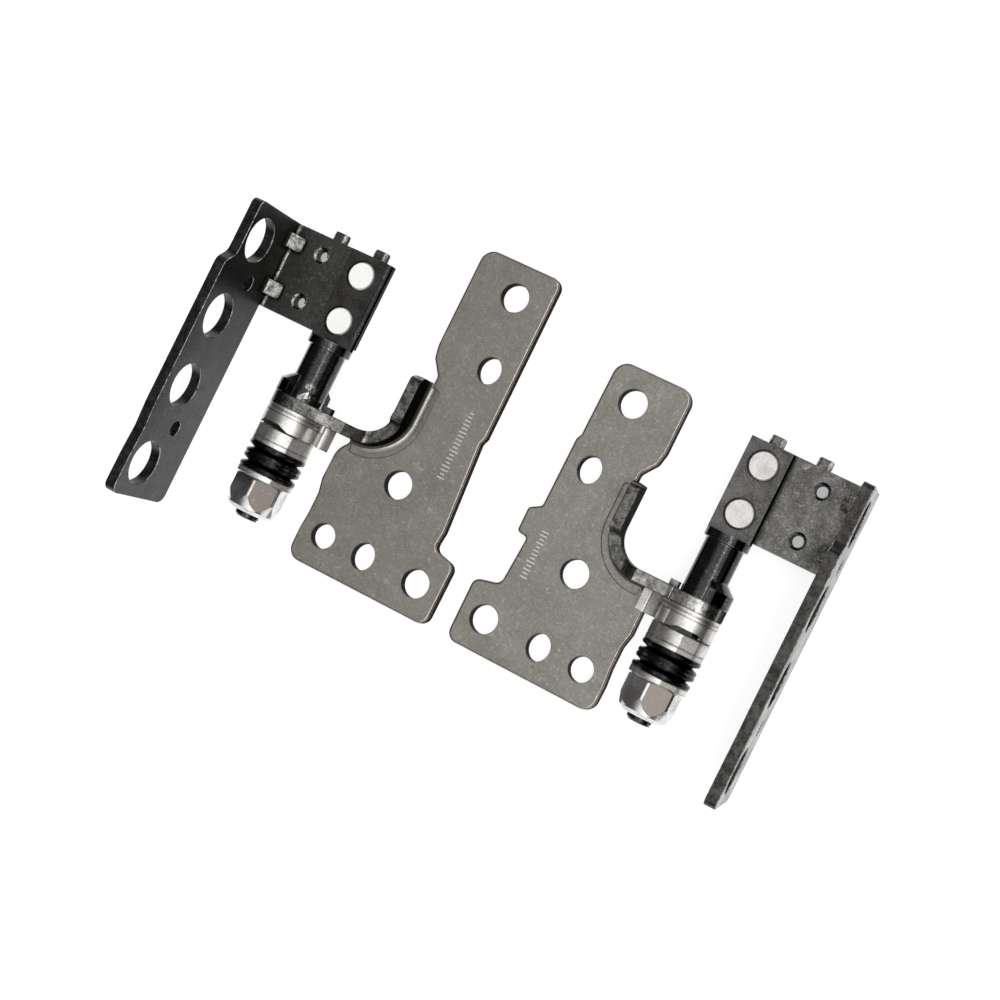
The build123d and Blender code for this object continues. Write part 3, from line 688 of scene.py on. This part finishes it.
def brightFinish(name, look):
    material, tree, surface, place, normal = startFinish(name, look["roughness"])
    at, face = splitVector(tree, place), splitVector(tree, normal)
    out, outward = size(tree, at["X"]), size(tree, face["X"])
    mottle = placeGroup(tree, steelMottle, place, **look["mottle"])
    colour = mixColour(tree, rangeNode(tree, mottle, 0.15, 0.6), look["dark"], look["steel"])
    share = look["stainShare"]
    if share:
        stains = noiseNode(tree, offsetNode(tree, place, (0.004, 0.009, 0.002)), 380.0, 2.0, 0.5)
        stained = rangeNode(tree, stains, 0.62 - share * 0.25, 0.70 - share * 0.2)
        colour = mixColour(tree, times(tree, stained, 0.6), colour, look["stain"])
    if "facetReflection" in look:   # one nut facet, facing +X, gets a painted brown reflection
        facetReflection = times(tree, rangeNode(tree, face["X"], 0.32, 0.4), rangeNode(tree, face["X"], 0.75, 0.65),
                      rangeNode(tree, size(tree, face["Y"]), 0.25, 0.12))
        patch = rangeNode(tree, noiseNode(tree, place, 2600.0, 3.0, 0.6), 0.16, 0.38)
        colour = mixColour(tree, times(tree, facetReflection, patch), colour, look["facetReflection"])
    specks = placeGroup(tree, metalSpecks, place, **look["specks"])
    colour = mixColour(tree, times(tree, specks, 0.5), colour, look["dark"])
    # painted edge shade: near-black line along edges
    line = placeGroup(tree, edgeWearAndShade, place, **look["edge"])
    colour = mixColour(tree, times(tree, line, look["lineShare"]), colour, look["line"])
    tree.links.new(colour, surface.inputs["Base Color"])
    grain = placeGroup(tree, steelMottle, place, **look["grain"])
    height = times(tree, grain, look["grainDepth"])
    if look["turned"]:
        stretch = tree.nodes.new("ShaderNodeMapping")
        stretch.inputs["Scale"].default_value = look["turned"]
        tree.links.new(place, stretch.inputs["Vector"])
        rings = noiseNode(tree, stretch.outputs[0], 1.0, 2.0, 0.6)
        height = plus(tree, height, times(tree, rings, look["grainDepth"]))
    if look["slant"]:
        height = minus(tree, height, times(tree, at["X"], look["slant"]))
    if "legFrom" in look:
        inward = most(tree, minus(tree, look["legFrom"], out), 0.0)
        bend = plus(tree, times(tree, inward, inward, look["legBend"]), times(tree, inward, look["legSlant"]))
        height = plus(tree, height, bend)
        dull = times(tree, rangeNode(tree, outward, 0.8, 0.86), rangeNode(tree, face["Z"], 0.3, 0.38))
        tree.links.new(flip(tree, times(tree, dull, look["dullLeg"])), surface.inputs["Metallic"])
    bumpFrom(tree, surface, height, 1.0)
    return material


finishes = {   # by the start of a node's name, or of what follows its side
    "base_bracket": plateFinish(plateLook),
    "lid_bracket": lidFinish(lidLook),
    "shaft": blackFinish("blackShaft", shaftLook),
    "disc_spring": blackFinish("blackSpring", springLook),
    "left_fixed_cam": brightFinish("leftStopCam", leftCamLook),
    "right_fixed_cam": brightFinish("rightStopCam", rightCamLook),
    "left_rivet": brightFinish("paleRivetSteel", paleRivetLook),
    "rivet": brightFinish("rivetSteel", rivetLook),
    "nut": brightFinish("nickelNut", nutLook),
}
turnedSteel = brightFinish("turnedSteel", brightLook)   # cams and washers


def finishFor(node):
    kind = node.split("_", 1)[1]
    for word, finish in finishes.items():
        if node.startswith(word) or kind.startswith(word):
            return finish
    return turnedSteel


for name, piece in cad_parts.items():
    piece.data.materials.clear()
    piece.data.materials.append(finishFor(name))
print("finishes placed")


# Small pieces made by Geometry Nodes
def geometryTree(name, inputs):
    tree = bpy.data.node_groups.new(name, "GeometryNodeTree")
    for label, kind in inputs:
        tree.interface.new_socket(label, in_out="INPUT", socket_type=f"NodeSocket{kind}")
    tree.interface.new_socket("Geometry", in_out="OUTPUT", socket_type="NodeSocketGeometry")
    return tree, tree.nodes.new("NodeGroupInput").outputs, tree.nodes.new("NodeGroupOutput").inputs


def addNode(tree, kind, links, **settings):
    node = tree.nodes.new(kind)
    for label, value in settings.items():
        setattr(node, label, value)
    for label, value in links.items():
        if isinstance(value, bpy.types.NodeSocket):
            tree.links.new(value, node.inputs[label])
        else:
            node.inputs[label].default_value = value
    return node


def placeAndFinish(tree, geometry, inside, outside, turn=(0, 0, 0)):
    put = addNode(tree, "GeometryNodeTransform", {
        "Geometry": geometry, "Translation": inside["Place"], "Rotation": turn})
    real = addNode(tree, "GeometryNodeRealizeInstances", {"Geometry": put.outputs[0]})
    paint = addNode(tree, "GeometryNodeSetMaterial", {
        "Geometry": real.outputs[0], "Material": inside["Finish"]})
    tree.links.new(paint.outputs[0], outside["Geometry"])


def buildThread():
    tree, inside, outside = geometryTree("threadTurns", [
        ("Turns", "Float"), ("Height", "Float"), ("Radius", "Float"), ("Ridge", "Float"),
        ("Turn", "Vector"), ("Place", "Vector"), ("Finish", "Material")])
    helix = addNode(tree, "GeometryNodeCurveSpiral", {
        "Resolution": 40, "Rotations": inside["Turns"], "Start Radius": inside["Radius"],
        "End Radius": inside["Radius"], "Height": inside["Height"]})
    ridge = addNode(tree, "GeometryNodeCurvePrimitiveCircle", {"Resolution": 6, "Radius": inside["Ridge"]})
    turns = addNode(tree, "GeometryNodeCurveToMesh", {
        "Curve": helix.outputs[0], "Profile Curve": ridge.outputs[0], "Fill Caps": True})
    placeAndFinish(tree, turns.outputs[0], inside, outside, inside["Turn"])
    return tree


def buildStrokes():
    tree, inside, outside = geometryTree("etchedStrokes", [
        ("Count", "Int"), ("Step", "Vector"), ("Size", "Vector"),
        ("Seed", "Int"), ("Place", "Vector"), ("Finish", "Material")])
    row = addNode(tree, "GeometryNodeMeshLine", {"Count": inside["Count"], "Offset": inside["Step"]})
    stroke = addNode(tree, "GeometryNodeMeshCube", {"Size": inside["Size"]})
    vary = addNode(tree, "FunctionNodeRandomValue", {
        "Min": (0.45, 1.0, 1.0), "Max": (1.0, 1.0, 1.0), "Seed": inside["Seed"]}, data_type="FLOAT_VECTOR")
    put = addNode(tree, "GeometryNodeInstanceOnPoints", {
        "Points": row.outputs[0], "Instance": stroke.outputs[0], "Scale": vary.outputs[0]})
    placeAndFinish(tree, put.outputs[0], inside, outside)
    return tree


def pieceFrom(tree, name, values):
    piece = bpy.data.objects.new(name, bpy.data.meshes.new(name))
    bpy.context.scene.collection.objects.link(piece)
    modifier = piece.modifiers.new("build", "NODES")
    modifier.node_group = tree
    for item in tree.interface.items_tree:
        if item.in_out == "INPUT":
            modifier[item.identifier] = values[item.name]
    graph = bpy.context.evaluated_depsgraph_get()
    mesh = bpy.data.meshes.new_from_object(piece.evaluated_get(graph))
    piece.modifiers.remove(modifier)
    piece.data = mesh
    return piece


threadTurns = buildThread()
etchedStrokes = buildStrokes()

thread = {   # last turns on the shaft's end
    "pitch": 0.45 * mm,
    "turns": 1.2,
    "ridge": 0.055 * mm,
    "crestRadius": 1.22 * mm,
    "fromTip": 0.06 * mm,
}


def makeShaftThread(side, axis):
    turns = pieceFrom(threadTurns, f"{side}_thread_turns", {
        "Turns": thread["turns"], "Height": thread["turns"] * thread["pitch"],
        "Radius": thread["crestRadius"] - thread["ridge"] / 2, "Ridge": thread["ridge"],
        "Turn": (-math.pi / 2, 0.0, 0.0), "Place": (axis[0], axis[1] + thread["fromTip"], axis[2]),
        "Finish": finishes["shaft"]})
    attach(turns, f"{side}_lid")


def makeTappedThreads(side, axis, away):
    tilt = away * tapped["lidTilt"]
    across, down = away * tapped["out"], tapped["top"] - tapped["turns"] * tapped["pitch"]
    x = axis[0] + across * math.cos(tilt) + down * math.sin(tilt)
    z = axis[2] - across * math.sin(tilt) + down * math.cos(tilt)
    for number, y in enumerate(tapped["y"], 1):
        rings = pieceFrom(threadTurns, f"{side}_tapped_thread_{number}", {
            "Turns": tapped["turns"], "Height": tapped["turns"] * tapped["pitch"],
            "Radius": tapped["coreRadius"] - tapped["ridge"], "Ridge": tapped["ridge"],
            "Turn": (0.0, tilt, 0.0), "Finish": finishes["shaft"], "Place": (x, y, z)})
        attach(rings, f"{side}_lid")


strokes = {
    "left": {"count": 18, "fromShaft": 15.85 * mm, "along": (-0.7 * mm, 6.3 * mm), "seed": 4},
    "right": {"count": 13, "fromShaft": 16.7 * mm, "along": (-5.7 * mm, -0.9 * mm), "seed": 9},
    "fromLeafEnd": 16.05 * mm,
    "size": (0.95 * mm, 0.12 * mm, 0.006 * mm),
    "plateTop": 1.2 * mm,
}


def etchFinish(look):
    material, tree, surface, place, _ = startFinish("etchedMark", 0.5)
    fade = rangeNode(tree, noiseNode(tree, place, 2400.0, 2.0, 0.6), 0.3, 0.5)
    tree.links.new(mixColour(tree, fade, look["scratch"], look["etched"]), surface.inputs["Base Color"])
    return material


def makeStrokes(side, axis, away, finish):
    mark = strokes[side]
    start, end = mark["along"]
    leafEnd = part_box(f"{side}_lid_bracket")[0][1]
    etch = pieceFrom(etchedStrokes, f"{side}_etched_strokes", {
        "Count": mark["count"], "Step": (0.0, (end - start) / (mark["count"] - 1), 0.0),
        "Size": strokes["size"], "Seed": mark["seed"], "Finish": finish,
        "Place": (axis[0] - away * mark["fromShaft"], leafEnd + strokes["fromLeafEnd"] + start,
                  strokes["plateTop"])})
    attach(etch, "base")


etched = etchFinish(plateLook)
for side in sides:
    away = -1 if side == "left" else 1
    nutLow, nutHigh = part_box(f"{side}_nut")
    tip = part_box(f"{side}_shaft")[0][1]
    axis = ((nutLow[0] + nutHigh[0]) / 2, tip, (nutLow[2] + nutHigh[2]) / 2)
    makeShaftThread(side, axis)
    makeTappedThreads(side, axis, away)
    makeStrokes(side, axis, away, etched)
print("threads and etched strokes made")
